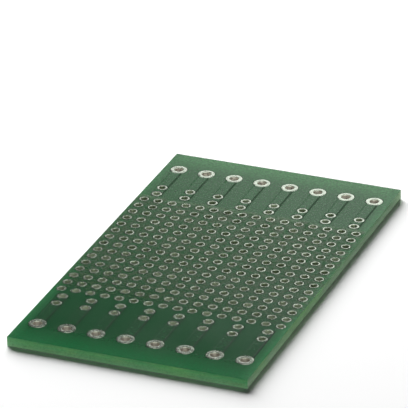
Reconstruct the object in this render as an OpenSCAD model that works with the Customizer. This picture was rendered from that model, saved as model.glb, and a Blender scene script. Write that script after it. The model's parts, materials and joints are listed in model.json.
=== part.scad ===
// Prototype board: a drilled glass-epoxy sheet with a grid of plated lead holes in the middle
// and a row of terminal pads at each end, every terminal joined to two lead holes by a track.
// Millimetres, +Z up, +Y towards the far end. The origin is on the surface that the board lies
// on, under its centre.

/* [Board] */
// Distance from the outer columns of lead holes to the long edges
side_margin = 1.45; // [1.1:0.05:6]
// Distance from the terminal holes to the short edges
end_margin = 5.92; // [2:0.01:12]
// Thickness of the bare laminate
laminate_t = 1.6; // [0.8:0.1:3.2]

/* [Copper] */
// Height of the tinned copper above the laminate
copper_t = 0.07; // [0.035:0.005:0.12]
// Thickness of the plating on the wall of a hole
plating_t = 0.04; // [0.02:0.005:0.06]

/* [Solder mask] */
// Thickness of the solder mask
mask_t = 0.03; // [0.02:0.005:0.05]
// Ring of bare laminate between a pad and the solder mask around it
mask_clearance = 0.08; // [0.02:0.01:0.12]
// How far the solder mask slopes out beside a track
mask_shoulder = 0.25; // [0.08:0.01:0.3]

/* [Lead grid] */
// Distance between neighbouring lead holes
pitch = 2.54; // [2.4:0.01:3]
// Lead holes across the grid
columns = 16; // [16:1:20]
// Lead holes along the grid, which is also the number of pad rows
rows = 15; // [15:1:15]
// Diameter of a grid pad
grid_pad_d = 1.6; // [1.4:0.05:2]
// Diameter of a finished lead hole
lead_hole_d = 1.15; // [0.8:0.05:1.2]

/* [Terminals] */
// Distance between neighbouring terminals
terminal_pitch = 5.08; // [4.5:0.01:7.62]
// Distance from a terminal hole to the nearer of its two lead holes
terminal_reach = 7.62; // [4:0.01:12]
// Diameter of a terminal pad
terminal_pad_d = 2.9; // [2.4:0.05:3.6]
// Diameter of a finished terminal hole
terminal_hole_d = 1.6; // [1.2:0.05:1.8]
// Diameter of a pad on the two lead holes of a terminal
tap_pad_d = 1.8; // [1.7:0.05:2.05]
// Width of the track from a terminal to its lead holes
track_w = 1.5; // [0.6:0.1:1.7]

/* [Hidden] */
terminals = 8;
fn_round = 48;
// How far a cutting solid runs past the face that it cuts
cut_past = 0.5;

grid_w = (columns - 1) * pitch;
grid_l = (rows - 1) * pitch;
inner_tap_y = grid_l / 2 + pitch;
outer_tap_y = inner_tap_y + pitch;
terminal_y = outer_tap_y + terminal_reach;
// The wider of the two patterns sets the width, with the same strip beside its outer pads
terminals_w = (terminals - 1) * terminal_pitch + terminal_pad_d - grid_pad_d;
board_w = max(grid_w, terminals_w) + 2 * side_margin;
board_l = 2 * (terminal_y + end_margin);

// Heights: the board lies on the pads of its lower face
laminate_z = copper_t;
laminate_top = laminate_z + laminate_t;
pad_top = laminate_top + copper_t;

laminate_green = [0.56, 0.66, 0.36];
mask_green = [0.12, 0.42, 0.24];
tin_grey = [0.80, 0.80, 0.77];

function column_x(c) = (c - (columns + 1) / 2) * pitch;
function row_y(r) = ((rows + 1) / 2 - r) * pitch;
function terminal_x(t) = (t - (terminals + 1) / 2) * terminal_pitch;

// A round rod along Z, from height z0 to height z1
module rod(x, y, d, z0, z1) {
    translate([x, y, z0]) cylinder(d = d, h = z1 - z0, $fn = fn_round);
}

// A flat sheet with the outline of the board
module sheet(z0, t) {
    translate([-board_w / 2, -board_l / 2, z0]) cube([board_w, board_l, t]);
}

// One round rod at every hole of the board, with its own diameter at each kind of hole
module at_every_hole(grid_d, tap_d, terminal_d, z0, z1) {
    for (r = [1 : rows], c = [1 : columns])
        rod(column_x(c), row_y(r), grid_d, z0, z1);
    for (end = [-1, 1], t = [1 : terminals]) {
        for (y = [inner_tap_y, outer_tap_y])
            rod(terminal_x(t), end * y, tap_d, z0, z1);
        rod(terminal_x(t), end * terminal_y, terminal_d, z0, z1);
    }
}

// The copper of one plated hole before it is bored: a pad on each face and the barrel between
module pad_blank(x, y, pad_d, hole_d) {
    rod(x, y, pad_d, laminate_top, pad_top);
    rod(x, y, hole_d + 2 * plating_t, 0, pad_top);
    rod(x, y, pad_d, 0, laminate_z);
}

module bore(x, y, hole_d) {
    rod(x, y, hole_d, -cut_past, pad_top + cut_past);
}

// The track of one terminal lies on the upper face, from the terminal to its inner lead hole
module track(t, end) {
    from_y = min(end * inner_tap_y, end * terminal_y);
    translate([terminal_x(t) - track_w / 2, from_y, laminate_top])
        cube([track_w, terminal_y - inner_tap_y, copper_t]);
}

// The solder mask runs over a track as a low ridge with sloping sides
module mask_ridge(t, end) {
    foot = track_w / 2 + mask_shoulder;
    crest = track_w / 2 + mask_t;
    translate([terminal_x(t), end * (inner_tap_y + terminal_y) / 2, laminate_top])
        rotate([90, 0, 0])
            linear_extrude(height = terminal_y - inner_tap_y, center = true)
                polygon([[-foot, 0], [foot, 0], [crest, copper_t + mask_t],
                         [-crest, copper_t + mask_t]]);
}

module mask_openings(z0, z1) {
    gap = 2 * mask_clearance;
    at_every_hole(grid_pad_d + gap, tap_pad_d + gap, terminal_pad_d + gap, z0, z1);
}

module laminate() {
    wall = 2 * plating_t;
    color(laminate_green)
        difference() {
            sheet(laminate_z, laminate_t);
            at_every_hole(lead_hole_d + wall, lead_hole_d + wall, terminal_hole_d + wall,
                          laminate_z - cut_past, laminate_top + cut_past);
        }
}

module solder_mask_top() {
    color(mask_green)
        difference() {
            union() {
                sheet(laminate_top, mask_t);
                for (end = [-1, 1], t = [1 : terminals]) mask_ridge(t, end);
            }
            for (end = [-1, 1], t = [1 : terminals]) track(t, end);
            mask_openings(laminate_top - cut_past, pad_top + cut_past);
        }
}

module solder_mask_bottom() {
    color(mask_green)
        difference() {
            sheet(laminate_z - mask_t, mask_t);
            mask_openings(laminate_z - mask_t - cut_past, laminate_z + cut_past);
        }
}

// One terminal pad, its track and its two lead holes are one piece of copper
module terminal(t, end) {
    x = terminal_x(t);
    color(tin_grey)
        difference() {
            union() {
                track(t, end);
                pad_blank(x, end * terminal_y, terminal_pad_d, terminal_hole_d);
                for (y = [inner_tap_y, outer_tap_y])
                    pad_blank(x, end * y, tap_pad_d, lead_hole_d);
            }
            bore(x, end * terminal_y, terminal_hole_d);
            for (y = [inner_tap_y, outer_tap_y]) bore(x, end * y, lead_hole_d);
        }
}

// One row of the lead grid: each plated hole stands by itself
module pad_row(r) {
    color(tin_grey)
        for (c = [1 : columns])
            difference() {
                pad_blank(column_x(c), row_y(r), grid_pad_d, lead_hole_d);
                bore(column_x(c), row_y(r), lead_hole_d);
            }
}

laminate();
solder_mask_top();
solder_mask_bottom();
for (t = [1 : terminals]) {
    terminal(t, 1);
    terminal(t, -1);
}
for (r = [1 : rows])
    pad_row(r);
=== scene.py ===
# %% [markdown]
# # A prototype board on a white table
#
# The board is a thin sheet of glass-epoxy with 288 plated holes. In the middle stands a grid of
# small tinned pads, and along each short end a row of eight large ones. The construction is
# already made, so this lesson dresses it: it loads the pieces as a fixed frame, gives each surface
# its finish, and models the soft, rounded tin that a plain cylinder can't show.

# %% Load the frame
import bpy
import json
import math
import random
from mathutils import Matrix, Vector


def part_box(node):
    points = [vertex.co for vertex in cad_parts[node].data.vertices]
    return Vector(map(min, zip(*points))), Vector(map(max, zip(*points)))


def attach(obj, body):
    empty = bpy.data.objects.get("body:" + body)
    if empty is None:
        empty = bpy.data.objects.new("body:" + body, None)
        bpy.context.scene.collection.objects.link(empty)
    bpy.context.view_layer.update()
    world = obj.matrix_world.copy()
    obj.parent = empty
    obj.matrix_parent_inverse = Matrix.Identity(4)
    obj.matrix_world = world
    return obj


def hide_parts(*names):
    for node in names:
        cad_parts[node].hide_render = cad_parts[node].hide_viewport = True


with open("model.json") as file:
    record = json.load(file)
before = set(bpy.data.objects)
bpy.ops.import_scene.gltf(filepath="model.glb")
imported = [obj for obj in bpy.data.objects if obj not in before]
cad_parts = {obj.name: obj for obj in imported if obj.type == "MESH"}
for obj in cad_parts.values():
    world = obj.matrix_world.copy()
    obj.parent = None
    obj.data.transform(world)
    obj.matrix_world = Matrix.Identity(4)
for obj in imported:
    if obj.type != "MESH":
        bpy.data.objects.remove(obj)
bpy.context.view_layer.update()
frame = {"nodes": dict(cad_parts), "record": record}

MM = 0.001

# %% [markdown]
# ## Read the sizes from the frame
#
# Most sizes that the finish needs are already in the frame. The boxes of the pieces give the
# outline, the heights, the pads and the pitch, and the record's mounts give the radius of the two
# kinds of hole. The few that no box shows, such as the width of a track under the mask, are
# written here once, so that every later cell works from the same values.

# %% Sizes from the frame
laminate_low, laminate_high = (Vector(corner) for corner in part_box("laminate"))
mask_high = Vector(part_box("solder_mask_top")[1])
row_low, row_high = (Vector(corner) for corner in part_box("pad_row_1"))
mounts = {mount["name"]: mount for mount in frame["record"]["mounts"]}
lead_hole_r = mounts["lead_grid"]["dims"]["hole_r_mm"] * MM
terminal_hole_r = mounts["terminal_holes_1"]["dims"]["hole_r_mm"] * MM
half_width, half_length = laminate_high.x, laminate_high.y
copper_t = row_high.z - laminate_high.z
grid_pad_r = (row_high.y - row_low.y) / 2
tap_pad_r = 1.8 / 2 * MM
track_w = 1.5 * MM
track_shoulder = 0.25 * MM
plating_t = 0.04 * MM
columns = 16
pitch = (row_high.x - row_low.x - 2 * grid_pad_r) / (columns - 1)
print("board in mm:", round(2 * half_width / MM, 2), "by", round(2 * half_length / MM, 2))
print("pitch in mm:", round(pitch / MM, 3), "pad:", round(2 * grid_pad_r / MM, 2))

# %% [markdown]
# ## Set up the camera
#
# The photograph was taken with a long lens from about 26 degrees above the table and a little to
# the right of the board. With a long lens the rows stay almost parallel. The camera is placed by
# a point on the board, two angles and a distance, which are easier to think about than three
# coordinates, and then turned by half a degree about its own axis.

# %% Camera
AIM = Vector((-8.79 * MM, 19.44 * MM, row_high.z))
CAMERA_AZIMUTH = math.radians(21.71)
CAMERA_ELEVATION = math.radians(25.97)
CAMERA_DISTANCE = 736.4 * MM
CAMERA_ROLL = math.radians(-0.48)
LENS_IN_MM, SENSOR_IN_MM = 384.65, 36
NEAREST_SEEN = 10 * MM


def from_the_camera():
    """The direction from the aim point to the camera."""
    level = math.cos(CAMERA_ELEVATION)
    return Vector((math.sin(CAMERA_AZIMUTH) * level,
                   -math.cos(CAMERA_AZIMUTH) * level,
                   math.sin(CAMERA_ELEVATION)))


def put_in_scene(name, data):
    """A new object of the scene that holds this mesh, lamp or camera."""
    thing = bpy.data.objects.new(name, data)
    bpy.context.scene.collection.objects.link(thing)
    return thing


camera_data = bpy.data.cameras.new("camera")
camera_data.lens = LENS_IN_MM
camera_data.sensor_width = SENSOR_IN_MM
camera_data.clip_start = NEAREST_SEEN
camera = put_in_scene("camera", camera_data)
looks = (-from_the_camera()).to_track_quat("-Z", "Y").to_matrix().to_4x4()
camera.matrix_world = (Matrix.Translation(AIM + from_the_camera() * CAMERA_DISTANCE)
                       @ looks @ Matrix.Rotation(CAMERA_ROLL, 4, "Z"))
bpy.context.scene.camera = camera
print("camera at", [round(value, 3) for value in camera.matrix_world.translation])

# %% [markdown]
# ## Build small helpers for node materials
#
# A material here is a small graph of nodes, and each of its nodes works out one step. The first
# helper adds a node and fills its inputs, the second gives the position on the board in
# millimetres, the third starts a material with its main shader, and the last puts it on a piece
# of the frame. Values that are the same all over a surface go straight on the shader, where they
# are easy to find.

# %% Helpers for materials
def add(tree, kind, **inputs):
    """A node of this kind, with its inputs set to values or joined to other nodes' outputs.

    An input goes by its name, with _ for a space, or by i and its number, such as i0.
    """
    new = tree.nodes.new(kind)
    for name, value in inputs.items():
        key = int(name[1:]) if name[1:].isdigit() else name.replace("_", " ")
        if isinstance(value, bpy.types.NodeSocket):
            tree.links.new(value, new.inputs[key])
        else:
            new.inputs[key].default_value = value
    return new


def place_in_mm(tree):
    """The position on the board in millimetres, as a vector and as its three parts."""
    place = tree.nodes.new("ShaderNodeTexCoord").outputs["Object"]
    scaled = add(tree, "ShaderNodeVectorMath", i0=place, i3=1 / MM)
    scaled.operation = "SCALE"
    parts = add(tree, "ShaderNodeSeparateXYZ", Vector=scaled.outputs[0])
    return scaled.outputs[0], parts.outputs


def new_material(name):
    """An empty material, its node tree and its main shader."""
    material = bpy.data.materials.new(name)
    material.use_nodes = True
    tree = material.node_tree
    return material, tree, tree.nodes["Principled BSDF"]


def dress(node, material):
    """Gives a piece of the frame this material and no other."""
    materials = frame["nodes"][node].data.materials
    materials.clear()
    materials.append(material)

# %% [markdown]
# ## Shape a value on its way to the shader
#
# The other helpers change what an earlier node gives. A ramp turns a distance or a noise into a
# share, a band is a ramp up and another down, and a share then mixes two colours. Most recipes
# below are only this: a place or a noise, a ramp over it, and a blend.

# %% Helpers for values
def maths(tree, operation, first, second=0.0):
    """The result of one operation on one or two numbers."""
    new = add(tree, "ShaderNodeMath", i0=first, i1=second)
    new.operation = operation
    return new.outputs[0]


def ramp(tree, value, start, end, low=0.0, high=1.0):
    """A smooth step from low to high while value goes from start to end."""
    step = add(tree, "ShaderNodeMapRange", Value=value, From_Min=start, From_Max=end,
               To_Min=low, To_Max=high)
    step.interpolation_type = "SMOOTHSTEP"
    return step.outputs[0]


def band(tree, value, up_from, up_to, down_from, down_to, height=1.0):
    """0, then height from up_to as far as down_from, then 0 again, with smooth flanks."""
    return maths(tree, "MULTIPLY", ramp(tree, value, up_from, up_to, 0.0, height),
                 ramp(tree, value, down_from, down_to, 1.0, 0.0))


def blend(tree, factor, first, second):
    """A mix of two colours."""
    mix = tree.nodes.new("ShaderNodeMix")
    mix.data_type = "RGBA"
    factor_in, first_in, second_in = mix.inputs[0], mix.inputs[6], mix.inputs[7]
    for socket, value in ((factor_in, factor), (first_in, first), (second_in, second)):
        if isinstance(value, bpy.types.NodeSocket):
            tree.links.new(value, socket)
        elif socket == factor_in:
            socket.default_value = value
        else:
            socket.default_value = (*value, 1)
    return mix.outputs[2]


def noise(tree, place, per_mm, detail, rough):
    """Soft noise between 0 and 1 with this many lumps for each millimetre."""
    return add(tree, "ShaderNodeTexNoise", Vector=place, Scale=per_mm, Detail=detail,
               Roughness=rough).outputs["Fac"]


def bumpy(tree, shader, height, depth_mm, strength=1.0):
    """Tilts the shading of a surface as bumps of this depth would."""
    bump = add(tree, "ShaderNodeBump", Height=height, Strength=strength, Distance=depth_mm * MM)
    tree.links.new(bump.outputs[0], shader.inputs["Normal"])

# %% [markdown]
# ## Give the solder mask its green
#
# The green skin is a lacquer a few hundredths of a millimetre thick, flowed on and baked. An image
# could hold its colours, but it would be tied to one board. Here the colour is worked out from the
# place on the board instead: how far it is to an edge or a track, and how high it is.
#
# The lacquer isn't one green. It is painted paler towards the far end, a painted sheen on top of
# the reflection of the room there, so each colour is a pair, for the near end and for the far end.
# Light that comes in at the sawn edges is painted as a brighter border, a painted glow, which
# reaches further in from the short edges.

# %% Green of the mask
# Each pair goes from the near end to the far end. The paler far colours are painted sheen, and the
# colours at the ends and sides are a painted glow.
MASK_FIELD = (0.004, 0.070, 0.020), (0.016, 0.108, 0.028)
MASK_GLOW_AT_END = (0.002, 0.137, 0.034), (0.046, 0.218, 0.064)
MASK_GLOW_AT_SIDE = (0.017, 0.168, 0.050), (0.026, 0.175, 0.048)
NEAR_TO_FAR_MM = (-25.0, 30.0)
LONG_EDGE_GLOW_MM = 2.2
SHORT_EDGE_GLOW_MM = 6.5


def edge_glow(tree, along, half_size, reach_mm):
    """1 at the two sawn edges of one direction, 0 further in."""
    from_edge = maths(tree, "SUBTRACT", half_size / MM, maths(tree, "ABSOLUTE", along))
    return ramp(tree, from_edge, 0.0, reach_mm, 1.0, 0.0)


def mask_green(tree, parts, to_far):
    """The green of the lacquer, with painted sheen towards the far end and a painted glow at its
    border.
    """
    # Painted glow along the sawn edges, and painted sheen towards the far end.
    end_glow = edge_glow(tree, parts[1], half_length, SHORT_EDGE_GLOW_MM)
    side_glow = edge_glow(tree, parts[0], half_width, LONG_EDGE_GLOW_MM)
    colour = blend(tree, end_glow, blend(tree, to_far, *MASK_FIELD),
                   blend(tree, to_far, *MASK_GLOW_AT_END))
    return blend(tree, side_glow, colour, blend(tree, to_far, *MASK_GLOW_AT_SIDE))


print("border in mm:", LONG_EDGE_GLOW_MM, "by the sides,", SHORT_EDGE_GLOW_MM, "by the ends")

# %% [markdown]
# ## Follow the tracks under the mask
#
# The mask runs over each track as a low ridge. On its crest, over the copper, the green is a touch
# greyer at the near end, and the height tells where that is. Along both feet of the ridge a dark
# line of painted shade is laid, darker on the right, the side away from the lamp. The tracks stand
# at equal distances, so one wrapped measure serves all sixteen. A line is a band: two distances
# from the foot where it begins, and two where it ends.

# %% Mask along the tracks
# Painted shade along the feet of each ridge, for the near and the far end.
MASK_PAINTED_SHADE = (0.000, 0.020, 0.004), (0.001, 0.042, 0.006)
MASK_ON_COPPER = (0.008, 0.068, 0.022), (0.014, 0.108, 0.028)
RIGHT_LINE_MM, RIGHT_LINE_SHARE = (-0.35, -0.10, 0.00, 0.22), 0.95
LEFT_LINE_MM, LEFT_LINE_SHARE = (-0.20, 0.05, 0.10, 0.35), 0.5
LINE_FADES_MM = 0.3
BELOW_CREST_MM = (0.012, 0.002)

crest_mm = mask_high.z / MM
foot_mm = (track_w / 2 + track_shoulder) / MM
terminal_low, terminal_high = (Vector(corner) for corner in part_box("far_terminal_1"))
next_terminal_low = Vector(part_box("far_terminal_2")[0])
terminal_pitch_mm = (next_terminal_low.x - terminal_low.x) / MM
track_from_mm, track_to_mm = terminal_low.y / MM, terminal_high.y / MM


def across_track(tree, parts):
    """How far a place is to the right of the middle of the nearest track, in millimetres."""
    across = add(tree, "ShaderNodeMath", i0=maths(tree, "ADD", parts[0], terminal_pitch_mm / 2),
                 i1=terminal_pitch_mm / 2, i2=-terminal_pitch_mm / 2)
    across.operation = "WRAP"
    return across.outputs[0]


def shade_beside_tracks(tree, parts):
    """A share that is high on the painted shade along the two feet of a ridge."""
    across = across_track(tree, parts)
    right = band(tree, across, *(foot_mm + away for away in RIGHT_LINE_MM), RIGHT_LINE_SHARE)
    left = band(tree, across, *(-foot_mm + away for away in LEFT_LINE_MM), LEFT_LINE_SHARE)
    beside = band(tree, maths(tree, "ABSOLUTE", parts[1]), track_from_mm,
                  track_from_mm + LINE_FADES_MM, track_to_mm - LINE_FADES_MM, track_to_mm)
    return maths(tree, "MULTIPLY", maths(tree, "ADD", right, left), beside)


def over_copper(tree, parts):
    """1 on the crest of a ridge, 0 below it."""
    return ramp(tree, parts[2], *(crest_mm - below for below in BELOW_CREST_MM))


print("solder mask crest in mm:", round(crest_mm, 3))
print("tracks in mm: from", round(track_from_mm, 2), "to", round(track_to_mm, 2), "off the middle")

# %% [markdown]
# ## Leave the haze, a pale line and a stain
#
# A grey haze lies over the grid in patches. It stops beyond the last row at a faint pale line,
# whose border wanders a little. One small brown stain sits near two pads of the far rows and marks
# the tin as well.
#
# From here on, the irregular parts are written in a short form. A NOISE has its lumps for each
# millimetre, its detail and its own roughness. A STEP has the two values of the noise, or of a
# random number, between which a trace comes up, then its share before and after, and a ROUGHNESS
# follows a noise in the same way. ALONG gives two places along the board in millimetres and the
# shares at them, and AROUND and AWAY do the same with two distances. Shares that are left out are
# 0 and 1.

# %% Haze, pale line and stain
HAZE = (0.054, 0.082, 0.038)
HAZE_NOISE = (1.1, 3.0, 0.5)
HAZE_STEP = (0.35, 0.65, 0.05, 0.75)
HAZE_FROM_MM = (-18.5, -15.5)
HAZE_ALONG = (-18.5, 2.0, 0.7, 1.0)
BORDER_NOISE, BORDER_WANDERS_MM = (0.4, 3.0, 0.5), 2.4
BEYOND_BORDER_MM = (-0.3, 0.6)
# A faint pale line beyond the last row, along the border of the grid.
PALE_LINE = (0.40, 0.62, 0.36)
PALE_LINE_SHARE = 0.15
SHORT_OF_BORDER_MM = (-1.0, -0.4)
PALE_LINE_NOISE = (0.5, 3.0, 0.5)
PALE_LINE_STEP = (0.3, 0.6, 0.3, 1.0)
STAIN = (0.085, 0.090, 0.060)
STAIN_AT_MM = (-3.9, 16.8, 0)
STAIN_AROUND = (0.8, 2.6, 0.55, 0.0)

grid_border_mm = (row_high.y + (pitch - grid_pad_r * 2) / 2) / MM


def with_haze(tree, colour, place, parts):
    """The colour under haze and pale line, and a share that is 1 all over the hazy part."""
    wander = maths(tree, "SUBTRACT", noise(tree, place, *BORDER_NOISE), 0.5)
    along = maths(tree, "ADD", parts[1], maths(tree, "MULTIPLY", wander, BORDER_WANDERS_MM))
    ends = [grid_border_mm + away for away in BEYOND_BORDER_MM]
    hazy = band(tree, along, *HAZE_FROM_MM, *ends)
    patchy = maths(tree, "MULTIPLY", ramp(tree, noise(tree, place, *HAZE_NOISE), *HAZE_STEP),
                   ramp(tree, parts[1], *HAZE_ALONG))
    colour = blend(tree, maths(tree, "MULTIPLY", hazy, patchy), colour, HAZE)
    # The faint pale line.
    line = band(tree, along, *(grid_border_mm + away for away in SHORT_OF_BORDER_MM), *ends, PALE_LINE_SHARE)
    line = maths(tree, "MULTIPLY", line, ramp(tree, noise(tree, place, *PALE_LINE_NOISE), *PALE_LINE_STEP))
    return blend(tree, line, colour, PALE_LINE), hazy


def near_stain(tree, place):
    """A share that is highest on the small brown stain."""
    away = add(tree, "ShaderNodeVectorMath", i0=place, i1=STAIN_AT_MM)
    away.operation = "DISTANCE"
    return ramp(tree, away.outputs["Value"], *STAIN_AROUND)


# Where the faint pale line lies.
print("lighter line at", round(grid_border_mm, 2), "mm")

# %% [markdown]
# ## Put the mask together
#
# The layers go on in order: green, haze, the painted shade lines beside the tracks, the crests of
# the ridges, broad clouds, the stain, fine grain and small specks of grime. The grime and the
# shade lines are also rougher than the rest, but only towards the far end, where the gloss is
# bright enough to show it.

# %% Solder mask
CLOUD = (0.047, 0.094, 0.058)
CLOUD_NOISE = (0.12, 4.0, 0.6)
CLOUD_STEP = (0.35, 0.75, 0.0, 0.16)
CLOUD_ALONG = (-20.0, 0.0, 0.3, 1.0)
GRAIN = (0.008, 0.036, 0.014)
GRAIN_NOISE = (2.4, 3.0, 0.7)
GRAIN_STEP = (0.35, 0.65)
GRAIN_ALONG = (-20.0, 20.0, 0.3, 0.55)
GRIME = (0.006, 0.036, 0.010)
GRIME_NOISE = (1.7, 2.0, 0.5)
GRIME_STEP = (0.42, 0.6)
GRIME_SHARE = 0.20
GRIME_ROUGHER, SHADE_LINE_ROUGHER = 0.30, 0.30
ROUGHER_ALONG = (-16.0, 2.0)
MASK_ROUGHNESS = (0.2, 0.8, 0.20, 0.27)
MASK_IOR, MASK_SPECULAR = 1.5, 0.42
ORANGE_PEEL_NOISE, ORANGE_PEEL_MM = (2.2, 3.0, 0.5), 0.006


def solder_mask_finish(name):
    """The lacquer, for either face of the board."""
    material, tree, shader = new_material(name)
    place, parts = place_in_mm(tree)
    to_far = ramp(tree, parts[1], *NEAR_TO_FAR_MM)
    colour, hazy = with_haze(tree, mask_green(tree, parts, to_far), place, parts)
    # Painted shade beside the tracks.
    shade_lines = shade_beside_tracks(tree, parts)
    colour = blend(tree, shade_lines, colour, blend(tree, to_far, *MASK_PAINTED_SHADE))
    colour = blend(tree, over_copper(tree, parts), colour, blend(tree, to_far, *MASK_ON_COPPER))
    cloud = noise(tree, place, *CLOUD_NOISE)
    cloudy = maths(tree, "MULTIPLY", ramp(tree, cloud, *CLOUD_STEP),
                   ramp(tree, parts[1], *CLOUD_ALONG))
    colour = blend(tree, cloudy, colour, CLOUD)
    colour = blend(tree, near_stain(tree, place), colour, STAIN)
    grain = maths(tree, "MULTIPLY", ramp(tree, noise(tree, place, *GRAIN_NOISE), *GRAIN_STEP),
                  ramp(tree, parts[1], *GRAIN_ALONG))
    colour = blend(tree, grain, colour, GRAIN)
    grime = maths(tree, "MULTIPLY", hazy,
                  ramp(tree, noise(tree, place, *GRIME_NOISE), *GRIME_STEP))
    colour = blend(tree, maths(tree, "MULTIPLY", grime, GRIME_SHARE), colour, GRIME)
    tree.links.new(colour, shader.inputs["Base Color"])
    # The painted shade lines and the grime are rougher.
    rougher = maths(tree, "ADD", maths(tree, "MULTIPLY", shade_lines, SHADE_LINE_ROUGHER),
                    maths(tree, "MULTIPLY", grime, GRIME_ROUGHER))
    rougher = maths(tree, "MULTIPLY", rougher, ramp(tree, parts[1], *ROUGHER_ALONG))
    tree.links.new(maths(tree, "ADD", ramp(tree, cloud, *MASK_ROUGHNESS), rougher),
                   shader.inputs["Roughness"])
    shader.inputs["IOR"].default_value = MASK_IOR
    shader.inputs["Specular IOR Level"].default_value = MASK_SPECULAR
    bumpy(tree, shader, noise(tree, place, *ORANGE_PEEL_NOISE), ORANGE_PEEL_MM)
    return material


dress("solder_mask_top", solder_mask_finish("solder_mask_over_tracks"))
dress("solder_mask_bottom", solder_mask_finish("solder_mask_plain"))
print("solder mask:", len(frame["nodes"]["solder_mask_top"].data.polygons), "faces on top")

# %% [markdown]
# ## Finish the sawn edge of the laminate
#
# Glass-epoxy is a stack of woven glass in clear resin. A sawn edge shows the layers as faint
# streaks along the board. Its colour is darker right under the mask and paler towards its foot:
# painted shade at the top and painted light at the foot. It has a few yellowed lengths and small
# dark pits, and the long sides are paler and greyer than the ends. The streaks are noise that is
# squeezed along the height and drawn out along the edge. The direction that a face looks in tells
# a side from an end, and it gives the far end and the left side, which the camera doesn't see, a
# deeper green, so that they don't glare in the lamp. The two large faces are painted almost black,
# as shade: no more of them shows than a thin ring between a pad and the mask, and that ring gives
# each pad a dark outline.

# %% Laminate
# Colours at the top and the foot of the edge: darker at the top as painted shade, paler at the
# foot as painted light.
END_TOP_TO_FOOT = (0.070, 0.380, 0.130), (0.215, 0.550, 0.270)
SIDE_TOP_TO_FOOT = (0.205, 0.440, 0.215), (0.640, 0.850, 0.630)
# Painted shade in a band right under the mask.
RIM_PAINTED_SHADE = (0.030, 0.200, 0.060)
RIM_MM, RIM_SHARE = 0.45, 0.4
LAYERS = (0.26, 0.44, 0.18)
LAYERS_SQUEEZED = (0.35, 0.35, 5.0)
LAYERS_NOISE = (1.0, 4.0, 0.6)
LAYERS_STEP = (0.35, 0.7, 0.0, 0.5)
YELLOWED = (0.22, 0.62, 0.14)
YELLOWED_NOISE = (0.13, 1.0, 0.5)
YELLOWED_STEP = (0.4, 0.7, 0.0, 0.35)
PITS = (0.04, 0.18, 0.07)
PITS_NOISE = (4.0, 4.0, 0.7)
PITS_STEP = (0.4, 0.75, 0.0, 0.5)
# Painted light along the foot of the edge.
FOOT_PAINTED_LIGHT = (0.52, 0.86, 0.55)
FOOT_PAINTED_LIGHT_MM, FOOT_PAINTED_LIGHT_SHARE = 0.4, 0.5
DEEP_EDGE, DEEP_EDGE_SHARE = (0.020, 0.130, 0.045), 0.7
# Painted shade: the faces under the mask show only as a dark outline round each pad.
PAINTED_SHADE_UNDER_MASK = (0.006, 0.018, 0.008)
LOOKS_THAT_WAY = (0.4, 0.6)
SAWN_ROUGHNESS = (0.2, 0.8, 0.45, 0.7)
SAWN_SPECULAR = 0.35
SAWN_DEPTH_MM, SAWN_STRENGTH = 0.03, 0.6


def laminate_finish():
    """The edges by their direction and height, with painted shade at the top and painted light at
    the foot, and the faces under the mask painted dark as shade.
    """
    material, tree, shader = new_material("sawn_laminate")
    place, parts = place_in_mm(tree)
    foot_at_mm, rim_at_mm = laminate_low.z / MM, laminate_high.z / MM
    facing = add(tree, "ShaderNodeSeparateXYZ",
                 Vector=tree.nodes.new("ShaderNodeTexCoord").outputs["Normal"]).outputs
    on_side = ramp(tree, maths(tree, "ABSOLUTE", facing[0]), *LOOKS_THAT_WAY)
    on_face = ramp(tree, maths(tree, "ABSOLUTE", facing[2]), *LOOKS_THAT_WAY)
    hidden = ramp(tree, maths(tree, "SUBTRACT", facing[1], facing[0]), *LOOKS_THAT_WAY,
                  0.0, DEEP_EDGE_SHARE)
    down = ramp(tree, parts[2], rim_at_mm, foot_at_mm)
    colour = blend(tree, on_side, blend(tree, down, *END_TOP_TO_FOOT),
                   blend(tree, down, *SIDE_TOP_TO_FOOT))
    # Painted shade right under the mask.
    rim = ramp(tree, parts[2], rim_at_mm - RIM_MM, rim_at_mm, 0.0, RIM_SHARE)
    colour = blend(tree, rim, colour, RIM_PAINTED_SHADE)
    squeeze = add(tree, "ShaderNodeVectorMath", i0=place, i1=LAYERS_SQUEEZED)
    squeeze.operation = "MULTIPLY"
    layers = noise(tree, squeeze.outputs[0], *LAYERS_NOISE)
    colour = blend(tree, ramp(tree, layers, *LAYERS_STEP), colour, LAYERS)
    yellowed = ramp(tree, noise(tree, place, *YELLOWED_NOISE), *YELLOWED_STEP)
    colour = blend(tree, yellowed, colour, YELLOWED)
    pits = noise(tree, place, *PITS_NOISE)
    colour = blend(tree, ramp(tree, pits, *PITS_STEP), colour, PITS)
    # Painted light at the foot.
    foot = ramp(tree, parts[2], foot_at_mm, foot_at_mm + FOOT_PAINTED_LIGHT_MM, FOOT_PAINTED_LIGHT_SHARE, 0.0)
    colour = blend(tree, foot, colour, FOOT_PAINTED_LIGHT)
    colour = blend(tree, hidden, colour, DEEP_EDGE)
    # The faces under the mask are painted dark as shade.
    colour = blend(tree, on_face, colour, PAINTED_SHADE_UNDER_MASK)
    tree.links.new(colour, shader.inputs["Base Color"])
    tree.links.new(ramp(tree, pits, *SAWN_ROUGHNESS), shader.inputs["Roughness"])
    shader.inputs["Specular IOR Level"].default_value = SAWN_SPECULAR
    bumpy(tree, shader, layers, SAWN_DEPTH_MM, SAWN_STRENGTH)
    return material


dress("laminate", laminate_finish())
print("laminate in mm:", round((laminate_high.z - laminate_low.z) / MM, 2), "thick")

# %% [markdown]
# ## Colour the inside of the holes
#
# Down in a hole the tin is thin and hardly looks like metal any more. Every small hole has a shade
# of its own, from a random number that is the same all over one hole, and towards the near end the
# small holes are paler. The wide holes are pale with brown blots. At the near end they get a
# painted highlight, a bright streak down the middle of the wall, with painted shade in brown on
# both sides of it. The blots of the near ones are fainter.

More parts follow.
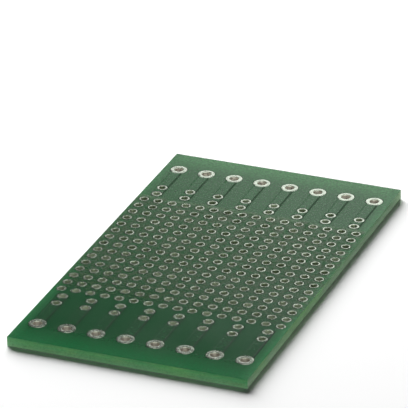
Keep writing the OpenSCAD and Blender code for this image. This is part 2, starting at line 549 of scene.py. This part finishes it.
# %% Holes
DARK_TO_PALE_HOLE = (0.40, 0.47, 0.33), (0.60, 0.66, 0.53)
HOLE_STEP = (0.1, 0.9)
NEAR_HOLE = (0.86, 0.90, 0.77)
NEAR_HOLE_ALONG = (3.0, -17.0, 0.0, 0.26)
WIDE_HOLE = (1.00, 0.99, 0.91)
# Brown of the blots, and of the painted shade beside the highlight in the near wide holes.
BROWN_BLOT_AND_SHADE = (0.26, 0.19, 0.15)
BLOT_NOISE = (1.9, 2.0, 0.5)
BLOT_STEP = (0.42, 0.58, 0.0, 0.45)
NEAR_BLOT_SHARE = 0.2
# Painted highlight down the middle of a near wide hole, with painted shade on its flanks.
PAINTED_HIGHLIGHT_AT_MM = -0.3
SHADE_FLANK_AWAY = (0.12, 0.42, 0.0, 0.42)
WIDE_BORDER_MM = 0.1

wide_from_mm = track_to_mm - (terminal_high.x - terminal_low.x) / MM


def chance_of_hole(tree, parts):
    """A number between 0 and 1 that is the same all over one plated hole."""
    pitch_mm = pitch / MM
    beyond_grid = maths(tree, "GREATER_THAN", maths(tree, "ABSOLUTE", parts[1]), grid_border_mm)
    across = maths(tree, "ADD", maths(tree, "DIVIDE", parts[0], pitch_mm),
                   maths(tree, "MULTIPLY", beyond_grid, 0.5))
    along = maths(tree, "ADD", maths(tree, "DIVIDE", parts[1], pitch_mm), 0.5)
    cell = add(tree, "ShaderNodeCombineXYZ", X=maths(tree, "FLOOR", across),
               Y=maths(tree, "FLOOR", along)).outputs[0]
    return add(tree, "ShaderNodeTexWhiteNoise", Vector=cell).outputs["Value"]


def hole_colour(tree, place, parts, by_chance):
    """The colour down a hole, small or wide, with a painted highlight and painted shade in the
    near wide ones.
    """
    small = blend(tree, ramp(tree, by_chance, *HOLE_STEP), *DARK_TO_PALE_HOLE)
    small = blend(tree, ramp(tree, parts[1], *NEAR_HOLE_ALONG), small, NEAR_HOLE)
    blots = maths(tree, "MULTIPLY", ramp(tree, noise(tree, place, *BLOT_NOISE), *BLOT_STEP),
                  ramp(tree, parts[1], -grid_border_mm, grid_border_mm, NEAR_BLOT_SHARE, 1.0))
    # Painted highlight and painted shade across a near wide hole.
    from_highlight = maths(tree, "SUBTRACT", across_track(tree, parts), PAINTED_HIGHLIGHT_AT_MM)
    flank_shade = maths(tree, "MULTIPLY",
                   ramp(tree, maths(tree, "ABSOLUTE", from_highlight), *SHADE_FLANK_AWAY),
                   ramp(tree, parts[1], -grid_border_mm, grid_border_mm, 1.0, 0.0))
    wide = blend(tree, maths(tree, "MAXIMUM", blots, flank_shade), WIDE_HOLE, BROWN_BLOT_AND_SHADE)
    is_wide = ramp(tree, maths(tree, "ABSOLUTE", parts[1]), wide_from_mm - WIDE_BORDER_MM,
                   wide_from_mm)
    return blend(tree, is_wide, small, wide)


print("wide holes in mm: more than", round(wide_from_mm, 2), "off the middle")

# %% [markdown]
# ## Finish the tin
#
# The pads are dipped in molten tin and blown level with hot air. The tin is silvery but not a
# mirror: it has shallow lumps a few tenths of a millimetre across, and in the grid and towards the
# near end some pads have gone dull. The depth below a pad tells where a hole begins, and there the
# colour of the hole takes over and the metal share falls.

# %% Tin
TIN = (0.89, 1.00, 0.84)
DULL_TIN = (0.58, 0.62, 0.52)
STAINED_TIN = (0.20, 0.22, 0.14)
PATCH_NOISE = (1.6, 3.0, 0.6)
PATCH_DULL_STEP = (0.4, 0.75, 0.0, 0.5)
CHANCE_DULL_STEP = (0.5, 1.0, 0.0, 0.3)
DULL_ENDS_MM = 4.0
HOLE_BEGINS_MM = (0.05, 0.16)
TIN_METAL, METAL_LOST_IN_HOLE = 0.95, 0.7
TIN_ROUGHNESS = (0.3, 0.8, 0.18, 0.34)
LUMP_NOISE, LUMP_DEPTH_MM = (2.6, 2.0, 0.5), 0.035


def tin_finish():
    """Bright and dull tin on the pads, and the colour of each hole below them."""
    material, tree, shader = new_material("hot_tinned_copper")
    place, parts = place_in_mm(tree)
    depth = maths(tree, "MINIMUM", maths(tree, "SUBTRACT", row_high.z / MM, parts[2]),
                  maths(tree, "SUBTRACT", parts[2], row_low.z / MM))
    in_hole = ramp(tree, depth, *HOLE_BEGINS_MM)
    patches = noise(tree, place, *PATCH_NOISE)
    by_chance = chance_of_hole(tree, parts)
    dull = maths(tree, "ADD", ramp(tree, patches, *PATCH_DULL_STEP),
                 ramp(tree, by_chance, *CHANCE_DULL_STEP))
    dull = maths(tree, "MULTIPLY", dull,
                 ramp(tree, parts[1], grid_border_mm, grid_border_mm + DULL_ENDS_MM, 1.0, 0.0))
    colour = blend(tree, dull, TIN, DULL_TIN)
    colour = blend(tree, near_stain(tree, place), colour, STAINED_TIN)
    colour = blend(tree, in_hole, colour, hole_colour(tree, place, parts, by_chance))
    tree.links.new(colour, shader.inputs["Base Color"])
    metal_lost = maths(tree, "MULTIPLY", in_hole, METAL_LOST_IN_HOLE)
    tree.links.new(maths(tree, "SUBTRACT", TIN_METAL, metal_lost), shader.inputs["Metallic"])
    tree.links.new(ramp(tree, patches, *TIN_ROUGHNESS), shader.inputs["Roughness"])
    bumpy(tree, shader, noise(tree, place, *LUMP_NOISE), LUMP_DEPTH_MM)
    return material


tin = tin_finish()
print("nodes in the tin:", len(tin.node_tree.nodes))

# %% [markdown]
# ## Turn the tinned eyelets
#
# Each plated hole is one eyelet: a pad on the upper face, a thin wall down the hole, a pad on
# the lower face. Melted tin pulls itself into a low, rounded ring, thicker on one side, so the
# pads catch the light differently. That can't be done with the plain cylinders of the frame.
# Each eyelet is turned from a closed profile, like a piece on a lathe, and the top of the ring
# is a flattened arch. A small lean and the height of the ring, chosen at random with a fixed
# seed, set how it sagged.

# %% Eyelets
TURN_STEPS = 28
ARCH_STEPS = 9
ARCH_POWER = 5.0
CREST_SHARES = (0.98, 1.12)
LEAN = 0.20
SHARP_FROM = math.radians(50)
chance = random.Random(7)


def arch(inner_r, outer_r):
    """Radius and height, as a share of the crest, of points over the ring from the hole out."""
    points = []
    for step in range(ARCH_STEPS + 1):
        across = -math.cos(math.pi * step / ARCH_STEPS)
        radius = (inner_r + outer_r) / 2 + (outer_r - inner_r) / 2 * across
        points.append((radius, (1 - abs(across) ** ARCH_POWER) ** (1 / ARCH_POWER)))
    return points


def eyelet_profile(pad_r, hole_r):
    """The closed section of an eyelet: (radius, height on the laminate, share of the crest)."""
    wall_r = hole_r + plating_t
    over = arch(hole_r, pad_r)
    top = [(radius, laminate_high.z, share) for radius, share in over]
    bottom = [(radius, laminate_low.z, -share) for radius, share in reversed(over)]
    return top + [(wall_r, laminate_high.z, 0), (wall_r, laminate_low.z, 0)] + bottom


def add_eyelet(points, faces, x, y, pad_r, hole_r):
    """Adds one turned eyelet to lists of points and faces."""
    first = len(points)
    profile = eyelet_profile(pad_r, hole_r)
    lean_to = chance.uniform(0, 2 * math.pi)
    crest = copper_t * chance.uniform(*CREST_SHARES)
    lean = LEAN * chance.random()
    for turn in range(TURN_STEPS):
        angle = 2 * math.pi * turn / TURN_STEPS
        upper = crest * (1 + lean * math.cos(angle - lean_to))
        for radius, z, share in profile:
            rise = share * (upper if share > 0 else copper_t)
            points.append((x + radius * math.cos(angle), y + radius * math.sin(angle), z + rise))
    count = len(profile)
    for turn in range(TURN_STEPS):
        here, there = first + turn * count, first + (turn + 1) % TURN_STEPS * count
        for step in range(count):
            after = (step + 1) % count
            faces.append((here + step, there + step, there + after, here + after))


def tinned_piece(name, points, faces, node):
    """A mesh piece that stands for a copper node of the frame."""
    mesh = bpy.data.meshes.new(name)
    mesh.from_pydata(points, [], faces)
    mesh.validate()
    mesh.shade_smooth()
    mesh.set_sharp_from_angle(angle=SHARP_FROM)
    mesh.materials.append(tin)
    piece = put_in_scene(name, mesh)
    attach(piece, "root")
    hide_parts(node)
    return piece


print("points in a grid eyelet:", TURN_STEPS * len(eyelet_profile(grid_pad_r, lead_hole_r)))

# %% [markdown]
# ## Make the rows of the grid
#
# The grid has fifteen rows of sixteen holes. A row's box in the frame gives its first and last
# hole, so a loop can walk along it. Each row is one piece, as it is one node of the frame.

# %% Grid rows
rows = sorted(name for name in frame["nodes"] if name.startswith("pad_row_"))
for name in rows:
    low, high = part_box(name)
    points, faces = [], []
    for column in range(columns):
        x = low[0] + grid_pad_r + column * pitch
        add_eyelet(points, faces, x, (low[1] + high[1]) / 2, grid_pad_r, lead_hole_r)
    tinned_piece("tinned_" + name, points, faces, name)
print("rows of the grid:", len(rows), "eyelets:", len(rows) * columns)

# %% [markdown]
# ## Make the terminals
#
# A terminal is a large eyelet, two small ones nearer the grid, and a track under the mask. The
# track is flat and nobody sees it, so a plain bar from the large eyelet to the nearer small one
# is enough. It stays a hair lower than the copper of the frame, clear of the mask over it.

# %% Terminals
TERMINALS_AT_AN_END = 8
BAR_REACH = 0.8
BAR_HEIGHT = 0.98


def add_bar(points, faces, low, high):
    """Adds a box between two corners."""
    first = len(points)
    points += [(x, y, z) for x in (low[0], high[0]) for y in (low[1], high[1])
               for z in (low[2], high[2])]
    faces += [tuple(first + corner for corner in side) for side in
              ((0, 1, 3, 2), (4, 6, 7, 5), (0, 4, 5, 1), (2, 3, 7, 6), (0, 2, 6, 4), (1, 5, 7, 3))]


def terminal_piece(node, end):
    """The piece of one terminal. The end is 1 for the far one and -1 for the near one."""
    low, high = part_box(node)
    x = (low[0] + high[0]) / 2
    terminal_r = (high[0] - low[0]) / 2
    outer_y, inner_y = (high[1], low[1]) if end > 0 else (low[1], high[1])
    terminal_y = outer_y - end * terminal_r
    inner_tap_y = inner_y + end * tap_pad_r
    points, faces = [], []
    add_eyelet(points, faces, x, terminal_y, terminal_r, terminal_hole_r)
    for y in (inner_tap_y, inner_tap_y + end * pitch):
        add_eyelet(points, faces, x, y, tap_pad_r, lead_hole_r)
    bar_from = inner_tap_y + end * (pitch + tap_pad_r)
    bar_to = terminal_y - end * terminal_r * BAR_REACH
    add_bar(points, faces,
            (x - track_w / 2, min(bar_from, bar_to), laminate_high.z),
            (x + track_w / 2, max(bar_from, bar_to), laminate_high.z + copper_t * BAR_HEIGHT))
    return tinned_piece("tinned_" + node, points, faces, node)


terminals = [terminal_piece(f"{side}_terminal_{number}", end)
             for side, end in (("far", 1), ("near", -1))
             for number in range(1, TERMINALS_AT_AN_END + 1)]
print("terminals:", len(terminals))

# %% [markdown]
# ## Lay the table
#
# The table and the room behind are plain white. A camera, a mirror or a glass sees the room at
# full white, but hardly any light falls from it on the board. That is left to the lamps of the
# next cell, at a level where a colour renders about as it is written. The floor is a pale matt
# sheet. Its colour is a little brighter for the camera, so that it reads as white and still keeps
# the board's shadow.

# %% Table and room
FLOOR_HALF = 3000 * MM
FLOOR_GREY = 0.85
FLOOR_WHITE = 1.14
FLOOR_ROUGHNESS = 0.9
ROOM_LIGHT = 0.01


def seen_directly(tree):
    """1 for what the camera, a reflection or a glass looks at, 0 for soft light."""
    path = tree.nodes.new("ShaderNodeLightPath").outputs
    seen = maths(tree, "MAXIMUM", path["Is Camera Ray"], path["Is Glossy Ray"])
    return maths(tree, "MAXIMUM", seen, path["Is Transmission Ray"])


floor_mesh = bpy.data.meshes.new("table")
floor_mesh.from_pydata([(-FLOOR_HALF, -FLOOR_HALF, 0), (FLOOR_HALF, -FLOOR_HALF, 0),
                        (FLOOR_HALF, FLOOR_HALF, 0), (-FLOOR_HALF, FLOOR_HALF, 0)],
                       [], [(0, 1, 2, 3)])
floor = put_in_scene("table", floor_mesh)
floor_finish, tree, shader = new_material("white_table")
shader.inputs["Roughness"].default_value = FLOOR_ROUGHNESS
shader.inputs["Specular IOR Level"].default_value = 0.0
tree.links.new(ramp(tree, seen_directly(tree), 0.0, 1.0, FLOOR_GREY, FLOOR_WHITE),
               shader.inputs["Base Color"])
floor_mesh.materials.append(floor_finish)

world = bpy.data.worlds.new("room")
bpy.context.scene.world = world
world.use_nodes = True
tree = world.node_tree
background = tree.nodes["Background"]
background.inputs["Color"].default_value = (1, 1, 1, 1)
tree.links.new(ramp(tree, seen_directly(tree), 0.0, 1.0, ROOM_LIGHT, 1.0),
               background.inputs["Strength"])
print("table in m:", 2 * FLOOR_HALF, "wide")

# %% [markdown]
# ## Light the board
#
# One broad round lamp stands behind the board on the left, almost a metre away, so the shadow
# falls towards the camera and to the right, and its border is soft. The near edge of the board
# lies in that shadow. A long, low, weak lamp in front lights it from so flat an angle that the
# table gets almost nothing. Neither lamp shows in the gloss.

# %% Lamps
LAMP_AT = Vector((-0.54, 0.72, 0.48)).normalized() * 900 * MM
LAMP_WIDTH = 840 * MM
LAMP_POWER = 19.4
FILL_AT = Vector((260, -560, 22)) * MM
FILL_WIDTH, FILL_HEIGHT = 500 * MM, 36 * MM
FILL_POWER = 1.0


def add_lamp(name, shape, at, width, height, power):
    """An area lamp that points at the board and shows neither in the gloss nor to the camera."""
    data = bpy.data.lights.new(name, "AREA")
    data.shape = shape
    data.size, data.size_y = width, height
    data.energy = power
    lamp = put_in_scene(name, data)
    lamp.location = at
    lamp.rotation_euler = at.to_track_quat("Z", "Y").to_euler()
    lamp.visible_glossy = False
    lamp.visible_camera = False
    return lamp


lamps = [add_lamp("lamp", "DISK", LAMP_AT, LAMP_WIDTH, LAMP_WIDTH, LAMP_POWER),
         add_lamp("fill", "RECTANGLE", FILL_AT, FILL_WIDTH, FILL_HEIGHT, FILL_POWER)]
for lamp in lamps:
    print(lamp.name, "in m:", [round(value, 2) for value in lamp.location])

# %% [markdown]
# ## Hang the dark cards
#
# What the gloss shows is a dark card over the board and the white room beyond. The near half
# of the board mirrors the card and stays deep green, and the far half looks out under it at the
# room and turns pale. The card's edge is slanted, as the border of the pale part is. A second
# card stands low behind the board and gives the rounded tin something dark to mirror. Both are
# seen in reflections only.

# %% Cards
CARD_Y = 200 * MM
CARD_EDGE_Z = 153 * MM
CARD_SLANT = math.radians(32)
CARD_WIDTH, CARD_DEPTH = 900 * MM, 1000 * MM
LOW_CARD_TOP_Z = 28 * MM
CARD_GREY = 0.06

along_edge = Vector((math.cos(CARD_SLANT), 0, math.sin(CARD_SLANT)))
forward = Vector((0, -1, 0))
middle = Vector((0, CARD_Y, CARD_EDGE_Z))
corners = [middle - along_edge * CARD_WIDTH / 2, middle + along_edge * CARD_WIDTH / 2]
corners += [corners[1] + forward * CARD_DEPTH, corners[0] + forward * CARD_DEPTH]
low_card = [(-CARD_WIDTH / 2, CARD_Y, 0), (CARD_WIDTH / 2, CARD_Y, 0),
            (CARD_WIDTH / 2, CARD_Y, LOW_CARD_TOP_Z), (-CARD_WIDTH / 2, CARD_Y, LOW_CARD_TOP_Z)]
card_mesh = bpy.data.meshes.new("card")
card_mesh.from_pydata(corners + low_card, [], [(0, 1, 2, 3), (4, 5, 6, 7)])
card = put_in_scene("card", card_mesh)
card.visible_camera = False
card.visible_shadow = False
card.visible_diffuse = False
card_finish, tree, shader = new_material("dark_card")
shader.inputs["Base Color"].default_value = (0, 0, 0, 1)
shader.inputs["Specular IOR Level"].default_value = 0.0
shader.inputs["Emission Color"].default_value = (1, 1, 1, 1)
shader.inputs["Emission Strength"].default_value = CARD_GREY
card_mesh.materials.append(card_finish)
print("card edge in mm:", [[round(value / MM) for value in corner] for corner in corners[:2]])

# %% [markdown]
# ## Set the view
#
# The colours are shown through the plain Standard view transform.

# %% Finish
bpy.context.scene.view_settings.view_transform = "Standard"
